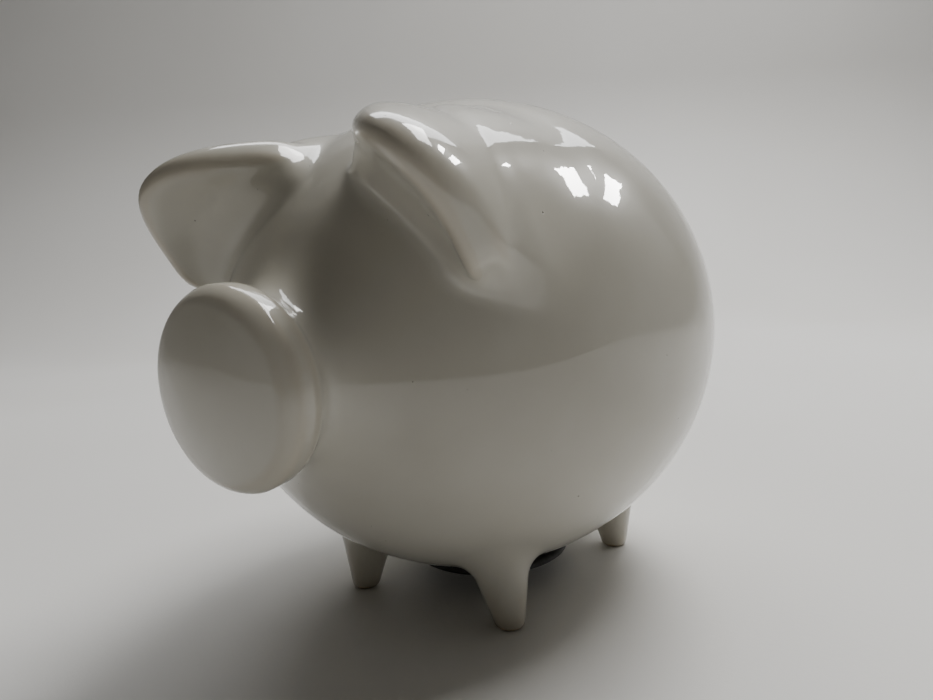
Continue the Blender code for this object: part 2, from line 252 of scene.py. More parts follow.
def along_and_out(points, base, way):
    """How far each point lies along an axis from its base, and how far out from it."""
    offset = points - base
    along = offset @ way
    return along, length_of(offset - along[:, None] * way)


def snout_distance(points):
    """A domed disc with round edges on a short neck, on an axis that dips a little towards the nose."""
    base = np.array((0.0, 0.0, SNOUT_REACH * math.sin(SNOUT_DIP) - SNOUT_DROP))
    way = np.array((0.0, -math.cos(SNOUT_DIP), -math.sin(SNOUT_DIP)))
    along, out = along_and_out(points, base, way)
    domed = along + SNOUT_DOME * (out / SNOUT_RADIUS) ** 2
    half = SNOUT_THICKNESS / 2
    middle = SNOUT_REACH - half
    edge = np.where(domed > middle, SNOUT_FRONT_EDGE, SNOUT_BACK_EDGE)
    beyond_side = out - (SNOUT_RADIUS - edge)
    beyond_face = np.abs(domed - middle) - (half - edge)
    outside = np.hypot(np.maximum(beyond_side, 0.0), np.maximum(beyond_face, 0.0))
    disc = np.minimum(np.maximum(beyond_side, beyond_face), 0.0) + outside - edge
    neck = np.maximum(out - SNOUT_NECK_RADIUS, np.abs(along - SNOUT_NECK_MIDDLE) - SNOUT_NECK_HALF)
    return smooth_min(disc, neck, SNOUT_NECK_FILLET)


def leg_distance(points, end):
    """The left leg at one end: a slim cone that leans outwards."""
    x, y, splay = FEET[end]
    lean = math.radians(splay)
    base = np.array((x, y, -PIG_CENTRE[2]))
    way = np.array((-math.sin(lean), 0.0, math.cos(lean)))
    along, out = along_and_out(points, base, way)
    cone = (out - FOOT_RADIUS - LEG_TAPER * along) * math.cos(math.atan(LEG_TAPER))
    return np.maximum(cone, along - LEG_LENGTH)


def tail_path():
    """Points and radii along the tail: a short stem, then round one coil."""
    start = BARREL_RADII[1]
    points = [(0.0, start - TAIL_ROOT_DEPTH, TAIL_HEIGHT)]
    radii = [TAIL_ROOT_RADIUS]
    for i in range(TAIL_POINTS + 1):
        share = i / TAIL_POINTS
        turn = 2 * math.pi * TAIL_TURNS * share
        x = TAIL_COIL_RADIUS * math.sin(turn)
        y = start + TAIL_STEM + TAIL_PITCH * TAIL_TURNS * share
        z = TAIL_HEIGHT + TAIL_COIL_RADIUS * (1 - math.cos(turn))
        points.append((x, y, z))
        radii.append(TAIL_ROOT_RADIUS + (TAIL_TIP_RADIUS - TAIL_ROOT_RADIUS) * share)
    return np.array(points), np.array(radii)


def tail_distance(points):
    """A round tube through the tail's points, measured only near it."""
    path, radii = tail_path()
    low, high = path.min(0) - TAIL_NEAR, path.max(0) + TAIL_NEAR
    beyond = length_of(np.maximum(np.maximum(low - points, points - high), 0.0))
    result = beyond + TAIL_FAR
    near = np.flatnonzero(beyond == 0.0)
    close = points[near]
    nearest = np.full(len(near), 1.0)
    for start, end, first, last in zip(path, path[1:], radii, radii[1:]):
        run = end - start
        share = np.clip((close - start) @ run / (run @ run), 0.0, 1.0)
        gap = length_of(close - start - share[:, None] * run) - (first + (last - first) * share)
        nearest = np.minimum(nearest, gap)
    result[near] = nearest
    return result


def ear_loop(station):
    """One closed loop round the left ear, as eight points."""
    crease, rim, foot = (Vector(point) * MILLIMETRE for point in station)
    across = (foot - crease).normalized()
    outward = (rim - (crease + foot) / 2).normalized()
    thickness = EAR_BACK_WAY * EAR_RIM_THICKNESS
    front = rim - thickness * EAR_RIM_FRONT_SHARE
    back = front + thickness
    return (
        crease * EAR_ROOT_DEPTH,
        crease,
        (crease + front) / 2 + across * EAR_DISH,
        front,
        back,
        (back + foot) / 2 + outward * EAR_BELLY,
        foot,
        foot * EAR_ROOT_DEPTH,
    )


def ear_tree():
    """The smoothed left ear, ready for nearest-point questions."""
    bm = bmesh.new()
    loops = [[bm.verts.new(point) for point in ear_loop(station)] for station in EAR_STATIONS]
    for first, second in zip(loops, loops[1:]):
        for i, vertex in enumerate(first):
            after = (i + 1) % len(first)
            bm.faces.new((vertex, first[after], second[after], second[i]))
    bm.faces.new(reversed(loops[0]))
    bm.faces.new(loops[-1])
    bmesh.ops.recalc_face_normals(bm, faces=bm.faces)
    mesh = bpy.data.meshes.new("ear_cage")
    bm.to_mesh(mesh)
    bm.free()
    cage = bpy.data.objects.new("ear_cage", mesh)
    bpy.context.scene.collection.objects.link(cage)
    subdivision = cage.modifiers.new("Smooth", "SUBSURF")
    subdivision.levels = 4
    graph = bpy.context.evaluated_depsgraph_get()
    smooth = cage.evaluated_get(graph).to_mesh()
    corners = [vertex.co.copy() for vertex in smooth.vertices]
    tree = BVHTree.FromPolygons(corners, [tuple(face.vertices) for face in smooth.polygons])
    bpy.data.objects.remove(cage)
    return tree


EAR_TREE = ear_tree()


def right_ear_drop(points):
    """How much lower the right ear sits towards the crown than the left, and how that changes outwards."""
    near, far = RIGHT_EAR_FADE
    share = np.clip((np.abs(points[:, 0]) - near) / (far - near), 0.0, 1.0)
    right = points[:, 0] < 0.0
    drop = RIGHT_EAR_DROP * (1.0 - eased(share))
    slope = -RIGHT_EAR_DROP * 6.0 * share * (1.0 - share) / (far - near)
    return drop * right, slope * right


def ear_distance(points):
    """Signed distance to the nearer ear and its gradient, exact inside EAR_BOX.

    Outside it, the distance is the one to the box plus EAR_FAR, and the gradient is zero.
    """
    mirrored = np.abs(points) * (1.0, 0.0, 0.0) + points * (0.0, 1.0, 1.0)
    drop, drop_slope = right_ear_drop(points)
    mirrored[:, 2] += drop
    low, high = EAR_BOX
    distance = length_of(np.maximum(np.maximum(low - mirrored, mirrored - high), 0.0)) + EAR_FAR
    gradient = np.zeros_like(points)
    near = np.flatnonzero(((mirrored > low) & (mirrored < high)).all(1))
    steps = np.round((mirrored[near] - low) / EAR_KEY).astype(np.int64)
    keys = (steps[:, 0] << 42) + (steps[:, 1] << 21) + steps[:, 2]
    _, first, again = np.unique(keys, return_index=True, return_inverse=True)
    found = np.empty((len(first), 4))
    for i, index in enumerate(near[first]):
        point = Vector(mirrored[index])
        place, normal, _, gap = EAR_TREE.find_nearest(point)
        away = point - place
        side = -1.0 if away.dot(normal) < 0.0 else 1.0
        found[i] = (side * gap, *(away * (side / gap) if gap > EAR_TOUCH else normal))
    distance[near] = found[again, 0]
    gradient[near] = found[again, 1:]
    gradient[:, 0] += gradient[:, 2] * drop_slope
    gradient[:, 0] *= np.where(points[:, 0] < 0.0, -1.0, 1.0)
    return distance, gradient


def ear_fillet(points):
    """How far the ears' feet spread onto the head: crisp in front, broad behind, less so near the crown."""
    offset = points - EAR_MIDDLE
    offset[:, 0] = np.abs(points[:, 0]) - EAR_MIDDLE[0]
    share = eased(np.clip((offset @ EAR_ACROSS + EAR_FILLET_BLEND / 2) / EAR_FILLET_BLEND, 0.0, 1.0))
    near, far = EAR_CROWN_REACH
    aside = np.clip((np.abs(points[:, 0]) - near) / (far - near), 0.0, 1.0)
    back = EAR_CROWN_FILLET + (EAR_BACK_FILLET - EAR_CROWN_FILLET) * eased(aside)
    return EAR_FRONT_FILLET + (back - EAR_FRONT_FILLET) * share


def slot_distance(points):
    """The coin slot, with round ends, down through the crown."""
    radius = SLOT_WIDTH / 2
    reach = SLOT_LENGTH / 2 - radius
    past = np.maximum(np.abs(points[:, 1] - SLOT_SHIFT) - reach, 0.0)
    return np.maximum(np.hypot(past, points[:, 0]) - radius, CUT_START - points[:, 2])


def belly_hole_distance(points):
    return np.maximum(np.hypot(points[:, 0], points[:, 1]) - BELLY_HOLE_RADIUS, points[:, 2] + CUT_START)


def part_distances(points, ear=None):
    """The distance to each separately made clay piece, before they are luted together."""
    mirrored = points.copy()
    mirrored[:, 0] = np.abs(mirrored[:, 0])
    return {
        "barrel": ellipsoid_distance(points, BARREL_RADII),
        "snout": snout_distance(points),
        "ear": ear_distance(points)[0] if ear is None else ear,
        "front": leg_distance(mirrored, "front"),
        "rear": leg_distance(mirrored, "rear"),
        "tail": tail_distance(points),
    }


def surface_distance(points, parts):
    """Signed distance to the whole bank's clay: the luted pieces, hollowed out, with its openings cut."""
    whole = smooth_min(parts["barrel"], parts["snout"], SNOUT_HEAD_FILLET)
    whole = smooth_min(whole, parts["ear"], ear_fillet(points))
    whole = smooth_min(whole, parts["front"], LEG_FILLET)
    whole = smooth_min(whole, parts["rear"], LEG_FILLET)
    whole = smooth_min(whole, parts["tail"], TAIL_FILLET)
    whole = smooth_max(whole, -PIG_CENTRE[2] - points[:, 2], SOLE_EDGE)
    whole = smooth_max(whole, -ellipsoid_distance(points, BARREL_RADII - WALL), SOLE_EDGE)
    whole = smooth_max(whole, -slot_distance(points), SLOT_LIP * 2)
    return smooth_max(whole, -belly_hole_distance(points), BELLY_LIP * 2)


def piece_labels(points, parts, whole):
    """Which clay piece each point belongs to, counted from 1, or 0 for air."""
    left = points[:, 0] >= 0.0
    order = ("snout", "ear", "front", "rear", "tail")
    stuck_on = np.stack([parts[name] for name in order])
    nearest = stuck_on.argmin(0)
    numbers = np.array((2, 3, 5, 7, 9))[nearest]
    has_right = np.array((False, True, True, True, False))[nearest]
    numbers = numbers + (has_right & ~left)
    on_barrel = (parts["barrel"] < 0.0) | (parts["barrel"] < stuck_on.min(0))
    labels = np.where(on_barrel, 1, numbers)
    return np.where(whole < 0.0, labels, 0)


# ---------------------------------------------------------------- meshing

def grid_axes():
    low, high = GRID_BOX
    counts = np.ceil((high - low) / CELL).astype(int) + 1
    return [low[axis] + CELL * np.arange(counts[axis]) for axis in range(3)]


def sample_grid():
    """Distances and labels on the grid, from coarse to fine, exact only near the surface and the seams."""
    axes = grid_axes()
    values = labels = None
    for stride in STRIDES:
        shape = [len(axis[::stride]) for axis in axes]
        if values is None:
            near = np.argwhere(np.ones(shape, bool))
            values = np.zeros(shape)
            labels = np.zeros(shape, np.int8)
        else:
            reach = stride * CELL * GRID_REACH
            near = np.argwhere(repeated((np.abs(values) < reach) | beside_seam(labels), shape))
            values, labels = repeated(values, shape), repeated(labels, shape)
        points = GRID_BOX[0] + CELL * stride * near
        parts = part_distances(points)
        exact = surface_distance(points, parts)
        values[tuple(near.T)] = exact
        labels[tuple(near.T)] = piece_labels(points, parts, exact)
    labels = without_diagonals(labels)
    return np.where(labels > 0, np.minimum(values, -TINY), values), labels


def repeated(coarse, shape):
    """A grid's values on a grid of half its spacing."""
    for axis in range(3):
        coarse = np.repeat(coarse, 2, axis)
    coarse = coarse[: shape[0], : shape[1], : shape[2]]
    return np.pad(coarse, [(0, full - have) for full, have in zip(shape, coarse.shape)], mode="edge")


def halves(axis):
    """Slices that give each grid point but the last along an axis, and each but the first."""
    low = [slice(None)] * 3
    high = [slice(None)] * 3
    low[axis], high[axis] = slice(0, -1), slice(1, None)
    return tuple(low), tuple(high)


def beside_seam(labels):
    """The grid points within two steps of a change of label."""
    mask = np.zeros(labels.shape, bool)
    for axis in range(3):
        low, high = halves(axis)
        change = labels[low] != labels[high]
        mask[low] |= change
        mask[high] |= change
    for axis in range(3):
        low, high = halves(axis)
        wider = mask.copy()
        wider[low] |= mask[high]
        wider[high] |= mask[low]
        mask = wider
    return mask


def without_diagonals(labels):
    """Relabels points where a piece would meet itself only along an edge, so that its mesh is clean."""
    for attempt in range(DIAGONAL_ROUNDS):
        changed = 0
        for one, two in ((0, 1), (0, 2), (1, 2)):
            low_one, high_one = halves(one)
            low_two, high_two = halves(two)
            corner = labels[low_one][low_two]
            across = labels[high_one][high_two]
            beside = labels[high_one][low_two]
            above = labels[low_one][high_two]
            first = (corner == across) & (beside != corner) & (above != corner) & (corner > 0)
            second = (beside == above) & (corner != beside) & (across != beside) & (beside > 0)
            mends = (first, corner, (beside, above)), (second, beside, (corner, across))
            for clash, wanted, options in mends:
                options = options if attempt % 2 == 0 else options[::-1]
                free = clash & (options[0] > 0)
                other = clash & ~free & (options[1] > 0)
                stuck = clash & ~free & ~other
                changed += int(clash.sum())
                options[0][free | stuck] = wanted[free | stuck]
                options[1][other] = wanted[other]
        if not changed:
            break
    return labels


def surface_nets(values, labels):
    """A vertex in each grid cell where a label changes, and a quad across each edge that joins two labels.

    Returns the vertices, whether each touches air, the quads, and the labels behind and before each quad.
    """
    cells = tuple(size - 1 for size in labels.shape)
    corners = [(i, j, k) for i in (0, 1) for j in (0, 1) for k in (0, 1)]
    first = labels[: cells[0], : cells[1], : cells[2]]
    mixed = np.zeros(cells, bool)
    for i, j, k in corners:
        mixed |= labels[i : i + cells[0], j : j + cells[1], k : k + cells[2]] != first
    where = np.argwhere(mixed)
    index = np.full(cells, -1, np.int32)
    index[tuple(where.T)] = np.arange(len(where))
    air_sum = np.zeros((len(where), 3))
    air_count = np.zeros(len(where))
    seam_sum = np.zeros((len(where), 3))
    seam_count = np.zeros(len(where))
    for axis in range(3):
        others = [other for other in range(3) if other != axis]
        for u in (0, 1):
            for v in (0, 1):
                start = where.copy()
                start[:, others[0]] += u
                start[:, others[1]] += v
                end = start.copy()
                end[:, axis] += 1
                label_a, label_b = labels[tuple(start.T)], labels[tuple(end.T)]
                value_a, value_b = values[tuple(start.T)], values[tuple(end.T)]
                air = (label_a == 0) != (label_b == 0)
                seam = (label_a != label_b) & ~air
                share = np.where(air, value_a / np.where(air, value_a - value_b, 1.0), 0.5)
                place = start.astype(float)
                place[:, axis] += share
                air_sum += place * air[:, None]
                air_count += air
                seam_sum += place * seam[:, None]
                seam_count += seam
    touches_air = air_count > 0
    total = np.where(touches_air[:, None], air_sum, seam_sum)
    count = np.where(touches_air, air_count, np.maximum(seam_count, 1))
    vertices = GRID_BOX[0] + CELL * total / count[:, None]
    quads, behind, before = [], [], []
    for axis in range(3):
        low, high = halves(axis)
        label_a, label_b = labels[low], labels[high]
        edges = np.argwhere(label_a != label_b)
        one, two = (axis + 1) % 3, (axis + 2) % 3
        inner = (edges[:, one] > 0) & (edges[:, two] > 0)
        inner &= (edges[:, one] < index.shape[one]) & (edges[:, two] < index.shape[two])
        edges = edges[inner]
        ring = []
        for step_one, step_two in ((-1, -1), (0, -1), (0, 0), (-1, 0)):
            cell = edges.copy()
            cell[:, one] += step_one
            cell[:, two] += step_two
            ring.append(index[tuple(cell.T)])
        quads.append(np.stack(ring, 1))
        behind.append(label_a[tuple(edges.T)])
        before.append(label_b[tuple(edges.T)])
    return vertices, touches_air, np.concatenate(quads), np.concatenate(behind), np.concatenate(before)


def slopes(points):
    """The distance and its gradient, by central differences. The ears' own gradient is known."""
    ear, ear_gradient = ear_distance(points)
    gradient = np.empty_like(points)
    for axis in range(3):
        step = np.zeros(3)
        step[axis] = SLOPE_STEP
        rise = ear_gradient[:, axis] * SLOPE_STEP
        ahead, behind = points + step, points - step
        ahead = surface_distance(ahead, part_distances(ahead, ear + rise))
        behind = surface_distance(behind, part_distances(behind, ear - rise))
        gradient[:, axis] = (ahead - behind) / (2 * SLOPE_STEP)
    return surface_distance(points, part_distances(points, ear)), gradient


def settle(points):
    """Moves points onto the surface."""
    for _ in range(2):
        distance, gradient = slopes(points)
        steep = np.maximum((gradient * gradient).sum(1), LEAST_SLOPE)
        points = points - gradient * (distance / steep)[:, None]
    return points


def bury(points):
    """Moves the corners inside the seams deeper into the clay, clear of the surface."""
    distance, gradient = slopes(points)
    steep = np.maximum((gradient * gradient).sum(1), LEAST_SLOPE)
    shallow = np.maximum(distance + SEAM_DEPTH, 0.0)
    return points - gradient * (shallow / steep)[:, None]


def split_seams(quads, seam, touches_air):
    """Cuts in two each seam quad with three corners on the surface.

    The cut starts at its buried corner, so that neither half lies along the surface.
    """
    cut = seam & (touches_air[quads].sum(1) == 3)
    order = (touches_air[quads[cut]].argmin(1)[:, None] + np.arange(4)) % 4
    turned = np.take_along_axis(quads[cut], order, 1)
    return cut, turned[:, [0, 1, 2]], turned[:, [0, 2, 3]]


def neighbours_mean(edges, values):
    """The mean of each vertex's neighbours' values."""
    count = len(values)
    ends = np.concatenate([edges[:, 0], edges[:, 1]])
    others = np.concatenate([edges[:, 1], edges[:, 0]])
    number = np.maximum(np.bincount(ends, minlength=count), 1)
    columns = values.reshape(count, -1).T
    means = [np.bincount(ends, column[others], minlength=count) / number for column in columns]
    return np.stack(means, 1).reshape(values.shape)


def hollowness(vertices, normals, edges):
    """How far the glaze would pool at each vertex: above zero in a crease, below zero on an edge."""
    toward = neighbours_mean(edges, vertices) - vertices
    bend = (toward * normals).sum(1) / CELL
    for _ in range(BEND_SMOOTHING):
        bend = neighbours_mean(edges, bend) * 0.5 + bend * 0.5
    return bend * POOL_SCALE


def whole_surface():
    """Every clay piece's surface, as one set of vertices with normals, faces and traits."""
    values, labels = sample_grid()
    vertices, touches_air, quads, behind, before = surface_nets(values, labels)
    settled = settle(vertices[touches_air])
    vertices[touches_air] = settled
    vertices[~touches_air] = bury(vertices[~touches_air])
    normals = np.zeros_like(vertices)
    normals[touches_air] = slopes(settled)[1]
    corners = quads[(behind == 0) | (before == 0)]
    edges = np.concatenate([corners[:, [0, 1]], corners[:, [1, 2]], corners[:, [2, 3]], corners[:, [3, 0]]])
    for _ in range(NORMAL_SMOOTHING):
        normals = (normals + neighbours_mean(edges, normals)) / 2
    normals /= np.maximum(length_of(normals), 1e-9)[:, None]
    above_floor = vertices[:, 2] + PIG_CENTRE[2]
    cavity = ellipsoid_distance(vertices, BARREL_RADII - WALL)
    traits = {
        "pool": hollowness(vertices, normals, edges),
        "sole": np.clip(1.0 - above_floor / SOLE_WIPE, 0.0, 1.0),
        "inside": np.clip(1.0 - cavity / (WALL * INSIDE_FADE), 0.0, 1.0),
    }
    cut, first, second = split_seams(quads, (behind > 0) & (before > 0), touches_air)
    whole = quads[~cut], behind[~cut], before[~cut]
    split = np.concatenate([first, second]), np.tile(behind[cut], 2), np.tile(before[cut], 2)
    return vertices, normals, (whole, split), traits


def piece_mesh(name, label, surface):
    """The closed mesh of one clay piece, with its seam shared exactly with its neighbours."""
    vertices, normals, patches, traits = surface
    faces = []
    for ring, behind, before in patches:
        faces.append(np.concatenate([ring[behind == label], ring[before == label][:, ::-1]]))
    used = np.unique(np.concatenate([patch.ravel() for patch in faces]))
    numbered = [row for patch in faces for row in np.searchsorted(used, patch).tolist()]
    mesh = bpy.data.meshes.new(name)
    mesh.from_pydata((vertices[used] + PIG_CENTRE).tolist(), [], numbered)
    mesh.update()
    mesh.shade_smooth()
    for trait_name, values in traits.items():
        attribute = mesh.attributes.new(trait_name, "FLOAT", "POINT")
        attribute.data.foreach_set("value", values[used].astype(np.float32))
    mesh.normals_split_custom_set_from_vertices(normals[used].tolist())
    piece = bpy.data.objects.new(name, mesh)
    bpy.context.scene.collection.objects.link(piece)
    return piece


# ---------------------------------------------------------------- shader helpers

def add_node(tree, kind, values=None, **settings):
    """A new shader node with its settings and its input values or links."""
    node = tree.nodes.new(kind)
    for name, value in settings.items():
        setattr(node, name, value)
    for name, value in (values or {}).items():
        set_input(tree, node, name, value)
    return node


def set_input(tree, node, name, value):
    if isinstance(value, bpy.types.NodeSocket):
        tree.links.new(value, node.inputs[name])
    else:
        node.inputs[name].default_value = value


def math_node(tree, operation, first, second=0.0):
    return add_node(tree, "ShaderNodeMath", {0: first, 1: second}, operation=operation).outputs[0]


def remap(tree, value, low, high, to_low=0.0, to_high=1.0):
    values = {"Value": value, "From Min": low, "From Max": high, "To Min": to_low, "To Max": to_high}
    return add_node(tree, "ShaderNodeMapRange", values, interpolation_type="SMOOTHSTEP").outputs[0]


def mix_colour(tree, share, first, second):
    node = add_node(tree, "ShaderNodeMix", data_type="RGBA")
    set_input(tree, node, 0, share)
    set_input(tree, node, 6, first)
    set_input(tree, node, 7, second)
    return node.outputs[2]


def noise(tree, place, scale, detail=3.0, roughness=0.5, distortion=0.0):
    values = {"Vector": place, "Scale": scale, "Detail": detail, "Roughness": roughness}
    values["Distortion"] = distortion
    return add_node(tree, "ShaderNodeTexNoise", values).outputs["Fac"]


def bump(tree, height, distance, strength=1.0, normal=None):
    values = {"Height": height, "Distance": distance, "Strength": strength}
    if normal is not None:
        values["Normal"] = normal
    return add_node(tree, "ShaderNodeBump", values).outputs[0]


def trait(tree, name):
    return add_node(tree, "ShaderNodeAttribute", attribute_name=name).outputs["Fac"]


def new_material(name):
    material = bpy.data.materials.new(name)
    material.use_nodes = True
    tree = material.node_tree
    shader = tree.nodes["Principled BSDF"]
    place = add_node(tree, "ShaderNodeTexCoord").outputs["Object"]
    return material, tree, shader, place


def pinholes(tree, place, scale, radius, share):
    """Sparse round specks: 1 at each centre. share is the part of the cells that hold one."""
    cells = add_node(tree, "ShaderNodeTexVoronoi", {"Vector": place, "Scale": scale, "Randomness": 1.0})
    drawn = add_node(tree, "ShaderNodeSeparateColor", {0: cells.outputs["Color"]}).outputs[0]
    chosen = math_node(tree, "LESS_THAN", drawn, share)
    spot = remap(tree, cells.outputs["Distance"], radius * scale, radius * scale * 0.4)
    return math_node(tree, "MULTIPLY", spot, chosen)


# ---------------------------------------------------------------- materials

def glazed_clay():
    """White glaze over cream clay: it pools in creases, thins on edges, and is wiped off the soles."""
    material, tree, shader, place = new_material("white_glaze")
    pool = trait(tree, "pool")
    sole = trait(tree, "sole")
    inside = trait(tree, "inside")

    cloud = noise(tree, place, 28.0, 3.0)
    drift = noise(tree, place, 9.0, 2.0, 0.6, 0.8)
    thick = remap(tree, pool, 0.4, 3.0)
    thin = remap(tree, pool, -1.4, -4.5)
    colour = mix_colour(tree, remap(tree, cloud, 0.35, 0.68), GLAZE_DARK, GLAZE_LIGHT)
    colour = mix_colour(tree, remap(tree, drift, 0.45, 0.75, 0.0, 0.35), colour, GLAZE_DRIFT)
    colour = mix_colour(tree, math_node(tree, "MULTIPLY", thick, 0.35), colour, GLAZE_THICK)
    colour = mix_colour(tree, math_node(tree, "MULTIPLY", thin, 0.45), colour, GLAZE_THIN)
    specks = pinholes(tree, place, 160.0, 0.00030, 0.35)
    dots = pinholes(tree, place, 260.0, 0.00015, 0.22)
    marks = math_node(tree, "MAXIMUM", specks, dots)
    colour = mix_colour(tree, math_node(tree, "MULTIPLY", marks, 0.85), colour, SPECK)

    grain = noise(tree, place, 1800.0, 4.0, 0.65)
    ragged = math_node(tree, "ADD", sole, remap(tree, noise(tree, place, 420.0, 3.0), 0.3, 0.7, -0.22, 0.22))
    bare = math_node(tree, "MAXIMUM", remap(tree, ragged, 0.42, 0.60), remap(tree, inside, 0.35, 0.65))
    clay = mix_colour(tree, remap(tree, grain, 0.35, 0.65), CLAY_DARK, CLAY_LIGHT)
    colour = mix_colour(tree, bare, colour, clay)

    haze = remap(tree, noise(tree, place, 60.0, 4.0, 0.6), 0.45, 0.75, 0.30, 0.40)
    rough = add_node(tree, "ShaderNodeMix", {0: bare, 2: haze, 3: 0.85}, data_type="FLOAT").outputs[0]
    coat = math_node(tree, "SUBTRACT", 1.0, bare)

    swell = noise(tree, place, 55.0, 2.0, 0.45)
    ripple = noise(tree, place, 190.0, 2.0, 0.5)
    waves = bump(tree, swell, 0.00016)
    waves = bump(tree, ripple, 0.00005, 1.0, waves)
    waves = bump(tree, math_node(tree, "MULTIPLY", marks, -1.0), 0.00012, 1.0, waves)
    body = bump(tree, math_node(tree, "MULTIPLY", grain, bare), 0.00020, 1.0, waves)

    set_input(tree, shader, "Base Color", colour)
    set_input(tree, shader, "Roughness", rough)
    set_input(tree, shader, "Normal", body)
    set_input(tree, shader, "Coat Weight", coat)
    set_input(tree, shader, "Coat Normal", waves)
    shader.inputs["Coat Roughness"].default_value = 0.022
    shader.inputs["Coat IOR"].default_value = 1.52
    shader.inputs["IOR"].default_value = 1.45
    shader.inputs["Specular IOR Level"].default_value = 0.08
    return material


def stopper_rubber():
    """Black moulded rubber with a grey bloom and fine mould grain."""
    material, tree, shader, place = new_material("black_rubber")
    bloom = remap(tree, noise(tree, place, 120.0, 5.0, 0.65), 0.42, 0.72)
    colour = mix_colour(tree, bloom, RUBBER_BLACK, RUBBER_BLOOM)
    rough = remap(tree, noise(tree, place, 380.0, 3.0), 0.3, 0.7, 0.48, 0.66)
    grain = bump(tree, noise(tree, place, 2600.0, 2.0), 0.00006)
    set_input(tree, shader, "Base Color", colour)
    set_input(tree, shader, "Roughness", rough)
    set_input(tree, shader, "Normal", grain)
    return material


def studio_paper():
    """Pale matt paper for the floor and the backdrop, with painted shade: darker towards the top of the
    backdrop.
    """
    material, tree, shader, place = new_material("studio_paper")
    fibre = noise(tree, place, 700.0, 4.0, 0.6)
    tone = noise(tree, place, 3.0, 2.0)
    colour = mix_colour(tree, remap(tree, tone, 0.3, 0.7), PAPER_DARK, PAPER_LIGHT)
    height = add_node(tree, "ShaderNodeSeparateXYZ", {0: place}).outputs["Z"]
    # Painted shade: the paper darkens higher up the backdrop.
    colour = mix_colour(tree, remap(tree, height, *PAPER_SHADE_HEIGHTS), colour, PAPER_PAINTED_SHADE)
    set_input(tree, shader, "Base Color", colour)
    set_input(tree, shader, "Roughness", 0.62)
    set_input(tree, shader, "Normal", bump(tree, fibre, 0.00004))
    return material


# ---------------------------------------------------------------- stopper

def arc(centre_radius, centre_height, radius, start, end, count):
    """Points on a circular arc of a turned profile, from one angle to another in degrees."""
    angles = [math.radians(start + (end - start) * i / count) for i in range(count + 1)]
    return [(centre_radius + radius * math.cos(a), centre_height + radius * math.sin(a)) for a in angles]


def stopper_profile():
    """From the cup's floor, over the rim, down past two soft ribs, round the flange and under the dish."""
    plug = BELLY_HOLE_RADIUS - PLUG_CLEARANCE
    groove = plug - GROOVE_DEPTH
    inside = plug - PLUG_WALL
    flange = FLANGE_THICKNESS
    floor = flange + CUP_FLOOR
    top = flange + PLUG_HEIGHT
    points = [(0.0, floor), (inside - 0.0018, floor)]
    points += arc(inside - CUP_ROUND, floor + CUP_ROUND, CUP_ROUND, -80, 0, 6)
    points += [(inside, top - 0.0008)]
    points += arc(inside + RIM_ROUND, top - RIM_ROUND, RIM_ROUND, 170, 95, 4)
    points += arc(groove - 2 * RIM_ROUND, top - RIM_ROUND, RIM_ROUND, 85, 20, 4)
    points += arc(plug - UPPER_RIB, top - 0.0034, UPPER_RIB, 62, -70, 9)
    points += [(groove, top - 0.0052), (groove, top - 0.0060)]
    points += arc(plug - LOWER_RIB, top - 0.0078, LOWER_RIB, 70, -60, 8)
    points += [(groove, top - 0.0094), (groove, floor)]
    points += arc(groove + 0.0005, flange + 0.0005, 0.0005, 190, 265, 4)
    points += arc(FLANGE_RADIUS - FLANGE_TOP_ROUND, flange - FLANGE_TOP_ROUND, FLANGE_TOP_ROUND, 88, 0, 6)
    points += arc(FLANGE_RADIUS - FLANGE_BOTTOM_ROUND, FLANGE_BOTTOM_ROUND, FLANGE_BOTTOM_ROUND, 0, -88, 6)
    points += arc(0.0131, 0.0004, 0.0004, -90, -150, 3)
    points += arc(0.0112, 0.0003, 0.0006, 30, 88, 4)
    points += [(0.0080, DISH_DEPTH), (0.0, DISH_DEPTH)]
    return points


def turned_mesh(name, profile, steps):
    """A closed mesh of the profile turned about Z, with its first and last points on the axis."""
    bm = bmesh.new()
    bottom = bm.verts.new((0.0, 0.0, profile[0][1]))
    last = bm.verts.new((0.0, 0.0, profile[-1][1]))
    rings = []
    for radius, height in profile[1:-1]:
        turns = [2 * math.pi * step / steps for step in range(steps)]
        rings.append([bm.verts.new((radius * math.cos(a), radius * math.sin(a), height)) for a in turns])
    for first, second in zip(rings, rings[1:]):
        for step in range(steps):
            after = (step + 1) % steps
            bm.faces.new((first[step], first[after], second[after], second[step]))
    for step in range(steps):
        after = (step + 1) % steps
        bm.faces.new((bottom, rings[0][after], rings[0][step]))
        bm.faces.new((last, rings[-1][step], rings[-1][after]))
    bmesh.ops.recalc_face_normals(bm, faces=bm.faces)
    mesh = bpy.data.meshes.new(name)
    bm.to_mesh(mesh)
    bm.free()
    mesh.shade_smooth()
    return mesh


def pull_tab_mesh():
    """A rounded finger bar that crosses the dish."""
    bm = bmesh.new()
    bmesh.ops.create_cube(bm, size=1.0)
    bmesh.ops.scale(bm, verts=bm.verts, vec=PULL_TAB_SIZE)
    bmesh.ops.bevel(bm, geom=bm.edges, offset=PULL_TAB_EDGE, segments=4, affect="EDGES")
    mesh = bpy.data.meshes.new("stopper_pull_tab")
    bm.to_mesh(mesh)
    bm.free()
    mesh.shade_smooth()
    return mesh


def make_stopper(rubber):
    low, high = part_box("belly_stopper")
    middle = (Vector(low) + Vector(high)) / 2
    base = Vector((middle.x, middle.y, low[2]))
    turned = turned_mesh("rubber_stopper", stopper_profile(), STOPPER_STEPS)
    plug = bpy.data.objects.new("rubber_stopper", turned)
    tab = bpy.data.objects.new("stopper_pull_tab", pull_tab_mesh())
    plug.location = base
    tab.location = base + Vector((0.0, 0.0, DISH_DEPTH))
    for piece in (plug, tab):
        bpy.context.scene.collection.objects.link(piece)
        piece.data.materials.append(rubber)
        bpy.context.view_layer.update()
        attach(piece, "stopper")
    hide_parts("belly_stopper")


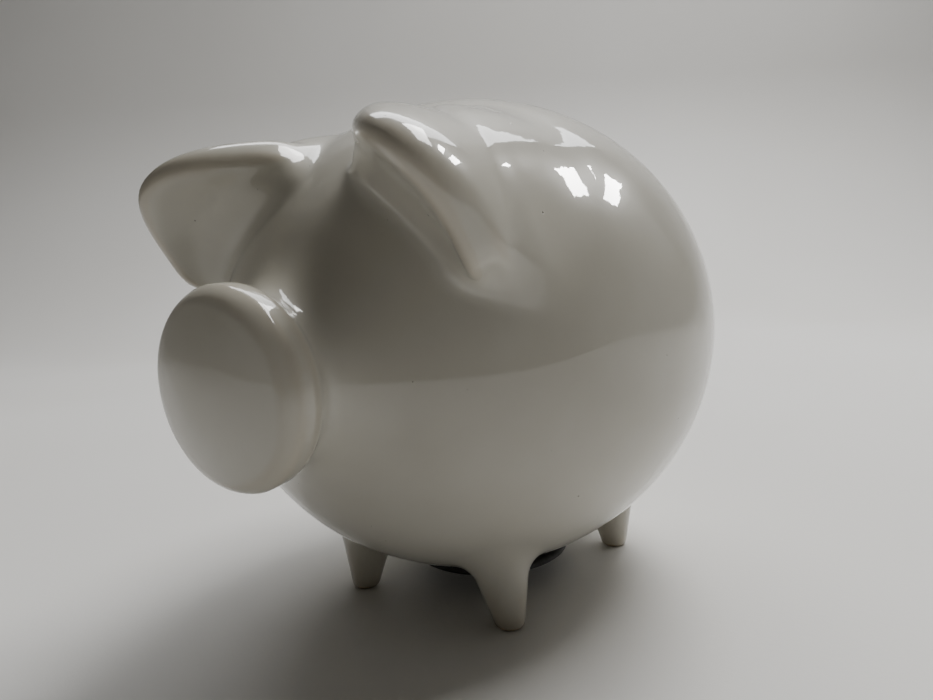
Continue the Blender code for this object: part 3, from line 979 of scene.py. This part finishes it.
def make_bank(glaze):
    surface = whole_surface()
    for label, (name, node) in enumerate(zip(PIECES, CAD_NODES), start=1):
        piece = piece_mesh(name, label, surface)
        piece.data.materials.append(glaze)
        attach(piece, "pig")
        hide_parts(node)


# ---------------------------------------------------------------- studio

def make_camera():
    azimuth, elevation, roll = (math.radians(angle) for angle in CAMERA_ANGLES)
    level = math.cos(elevation)
    back = Vector((math.sin(azimuth) * level, -math.cos(azimuth) * level, math.sin(elevation)))
    level_right = (-back).cross(Vector((0.0, 0.0, 1.0))).normalized()
    level_up = back.cross(level_right)
    right = level_right * math.cos(roll) + level_up * math.sin(roll)
    up = level_up * math.cos(roll) - level_right * math.sin(roll)
    data = bpy.data.cameras.new("camera")
    data.lens = CAMERA_LENS
    data.sensor_width = CAMERA_SENSOR
    data.clip_start, data.clip_end = CAMERA_CLIP
    camera = bpy.data.objects.new("camera", data)
    turn = Matrix((right, up, back)).transposed().to_4x4()
    camera.matrix_world = Matrix.Translation(CAMERA_PLACE) @ turn
    bpy.context.scene.collection.objects.link(camera)
    bpy.context.scene.camera = camera


def make_sweep(paper):
    """A sheet of paper: flat under the pig, then curved up behind it, square to the camera's azimuth."""
    azimuth = math.radians(CAMERA_ANGLES[0])
    away = Vector((-math.sin(azimuth), math.cos(azimuth), 0.0))
    across = Vector((math.cos(azimuth), math.sin(azimuth), 0.0))
    steps = SWEEP_FLAT_STEPS
    run = [(SWEEP_FRONT + (SWEEP_BEND - SWEEP_FRONT) * i / steps, 0.0) for i in range(steps)]
    for i in range(SWEEP_CURVE_STEPS + 1):
        turn = math.radians(90.0 * i / SWEEP_CURVE_STEPS)
        run.append((SWEEP_BEND + SWEEP_CURVE * math.sin(turn), SWEEP_CURVE * (1 - math.cos(turn))))
    run.append((SWEEP_BEND + SWEEP_CURVE, SWEEP_HEIGHT))
    bm = bmesh.new()
    rows = []
    for distance, height in run:
        middle = away * distance + Vector((0.0, 0.0, height))
        rows.append([bm.verts.new(middle + across * side) for side in SWEEP_SIDES])
    for first, second in zip(rows, rows[1:]):
        for i in range(len(SWEEP_SIDES) - 1):
            bm.faces.new((first[i], first[i + 1], second[i + 1], second[i]))
    mesh = bpy.data.meshes.new("floor_sweep")
    bm.to_mesh(mesh)
    bm.free()
    mesh.shade_smooth()
    floor = bpy.data.objects.new("floor_sweep", mesh)
    mesh.materials.append(paper)
    bpy.context.scene.collection.objects.link(floor)


def aim(obj, target):
    obj.rotation_euler = (Vector(target) - obj.location).to_track_quat("-Z", "Y").to_euler()


def direction(azimuth, elevation):
    """A unit vector from the pig: azimuth 0 is its nose, 90 its left side."""
    a, e = math.radians(azimuth), math.radians(elevation)
    return Vector((math.sin(a) * math.cos(e), -math.cos(a) * math.cos(e), math.sin(e)))


def area_light(name, azimuth, elevation, distance, width, height, power, colour, lights):
    data = bpy.data.lights.new(name, "AREA")
    data.shape = "RECTANGLE"
    data.size = width
    data.size_y = height
    data.energy = power
    data.color = colour
    light = bpy.data.objects.new(name, data)
    light.location = Vector(PIG_CENTRE) + direction(azimuth, elevation) * distance
    aim(light, PIG_CENTRE)
    light.visible_camera = False
    light.visible_diffuse = lights
    bpy.context.scene.collection.objects.link(light)


def make_world():
    """A dim room that is brighter on one side."""
    world = bpy.data.worlds.new("room")
    bpy.context.scene.world = world
    world.use_nodes = True
    tree = world.node_tree
    background = tree.nodes["Background"]
    way = add_node(tree, "ShaderNodeTexCoord").outputs["Generated"]
    bright_way = direction(ROOM_BRIGHT_SIDE, 0.0)
    dot = add_node(tree, "ShaderNodeVectorMath", {0: way, 1: bright_way}, operation="DOT_PRODUCT")
    facing = dot.outputs["Value"]
    share = remap(tree, facing, -0.7, 0.9)
    colour = mix_colour(tree, share, ROOM_DARK, ROOM_BRIGHT)
    set_input(tree, background, "Color", colour)


def make_studio():
    make_sweep(studio_paper())
    make_world()
    for settings in LIGHTS:
        area_light(*settings)
    make_camera()


make_bank(glazed_clay())
make_stopper(stopper_rubber())
make_studio()
